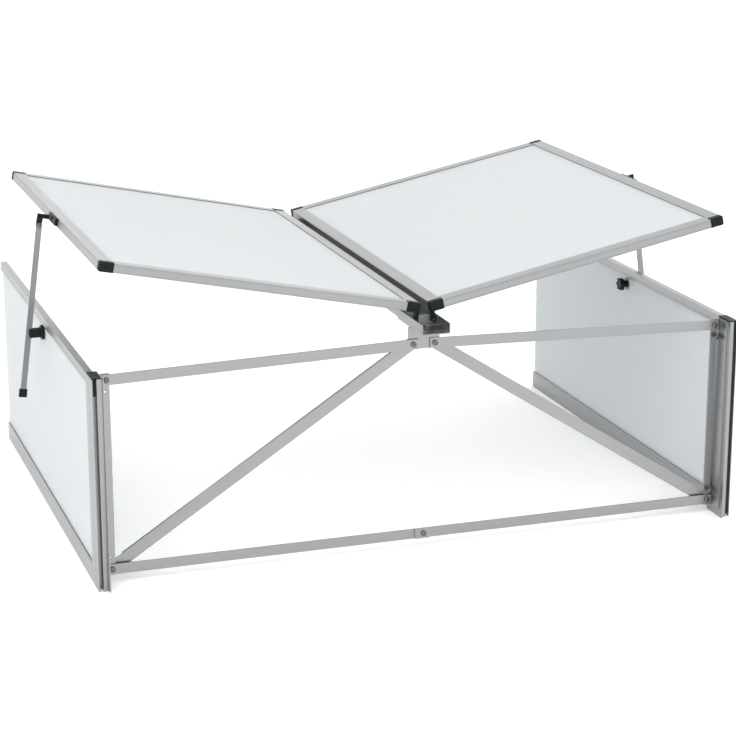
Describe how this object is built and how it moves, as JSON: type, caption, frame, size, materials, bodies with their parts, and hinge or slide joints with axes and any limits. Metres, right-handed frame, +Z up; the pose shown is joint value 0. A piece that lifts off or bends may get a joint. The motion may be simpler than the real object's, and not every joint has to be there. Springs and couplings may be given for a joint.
{
  "type": "cold frame",
  "caption": "Low growing frame with glazed side walls, an open bolted cross-frame, and two ridge-hinged lids held open by props.",
  "frame": {"origin": "middle of the bounding box, on the ground", "axes": "+Z up, +X to the right seen from the open cross-frame, +Y from the cross-frame to the rear"},
  "size_m": [1.3244, 0.962, 0.5832],
  "materials": {
    "aluminium": "satin mill-finish extrusion",
    "twin_wall_polycarbonate": "milky translucent twin-wall sheet",
    "black_plastic": "moulded, fine satin grain",
    "zinc_steel": "zinc plated"
  },
  "bodies": {
    "frame": {"front_post_left": "aluminium", "front_post_right": "aluminium", "wall_top_rail_left": "aluminium", "wall_top_rail_right": "aluminium", "wall_bottom_rail_left": "aluminium", "wall_bottom_rail_right": "aluminium", "wall_sheet_left": "twin_wall_polycarbonate", "wall_sheet_right": "twin_wall_polycarbonate", "post_cap_left": "black_plastic", "post_cap_right": "black_plastic", "corner_screws": "zinc_steel", "front_top_rail_left": "aluminium", "front_top_rail_right": "aluminium", "front_brace_left": "aluminium", "front_brace_right": "aluminium", "front_bottom_rail_left": "aluminium", "front_bottom_rail_right": "aluminium", "centre_bracket": "aluminium", "frame_bolts": "zinc_steel", "frame_nuts": "zinc_steel", "spare_bolts": "zinc_steel", "ridge_connector": "aluminium", "ridge_rail": "aluminium", "ridge_rail_sides": "aluminium", "hinge_plates": "aluminium", "hinge_pins": "zinc_steel", "ridge_screws": "zinc_steel", "prop_claw_left": "black_plastic", "prop_claw_right": "black_plastic", "claw_studs": "zinc_steel", "claw_washers": "zinc_steel"},
    "lid_left": {"lid_front_rail_left": "aluminium", "lid_rear_rail_left": "aluminium", "lid_outer_rail_left": "aluminium", "lid_inner_rail_left": "aluminium", "lid_sheet_left": "twin_wall_polycarbonate", "lid_outer_caps_left": "black_plastic", "lid_front_hinge_cap_left": "black_plastic", "lid_rear_hinge_cap_left": "black_plastic", "prop_bracket_left": "black_plastic", "bracket_screws_left": "zinc_steel", "prop_pivot_left": "zinc_steel"},
    "prop_left": {"prop_bar_left": "aluminium", "prop_foot_left": "black_plastic"},
    "knob_left": {"clamp_knob_left": "black_plastic"},
    "lid_right": {"lid_front_rail_right": "aluminium", "lid_rear_rail_right": "aluminium", "lid_outer_rail_right": "aluminium", "lid_inner_rail_right": "aluminium", "lid_sheet_right": "twin_wall_polycarbonate", "lid_outer_caps_right": "black_plastic", "lid_front_hinge_cap_right": "black_plastic", "lid_rear_hinge_cap_right": "black_plastic", "prop_bracket_right": "black_plastic", "bracket_screws_right": "zinc_steel", "prop_pivot_right": "zinc_steel"},
    "prop_right": {"prop_bar_right": "aluminium", "prop_foot_right": "black_plastic"},
    "knob_right": {"clamp_knob_right": "black_plastic"}
  },
  "joints": [
    {"name": "lid_left_hinge", "type": "hinge", "parent": "frame", "child": "lid_left", "pos_m": [-0.0175, 0, 0.431], "axis": [0, 1, 0], "range_deg": [-17.5, 8]},
    {"name": "prop_left_pivot", "type": "hinge", "parent": "lid_left", "child": "prop_left", "pos_m": [-0.60961, 0.01, 0.55771], "axis": [0, 1, 0], "range_deg": [-6, 13]},
    {"name": "knob_left_turn", "type": "hinge", "parent": "frame", "child": "knob_left", "pos_m": [-0.592, 0.01, 0.352], "axis": [1, 0, 0], "range_deg": [-180, 180]},
    {"name": "lid_right_hinge", "type": "hinge", "parent": "frame", "child": "lid_right", "pos_m": [0.0175, 0, 0.431], "axis": [0, -1, 0], "range_deg": [-17.5, 8]},
    {"name": "prop_right_pivot", "type": "hinge", "parent": "lid_right", "child": "prop_right", "pos_m": [0.60961, 0.01, 0.55771], "axis": [0, -1, 0], "range_deg": [-6, 13]},
    {"name": "knob_right_turn", "type": "hinge", "parent": "frame", "child": "knob_right", "pos_m": [0.592, 0.01, 0.352], "axis": [1, 0, 0], "range_deg": [-180, 180]}
  ],
  "couplings": [
    {"joint": "prop_left_pivot", "follows": "lid_left_hinge", "ratio": -0.7},
    {"joint": "prop_right_pivot", "follows": "lid_right_hinge", "ratio": -0.7}
  ]
}
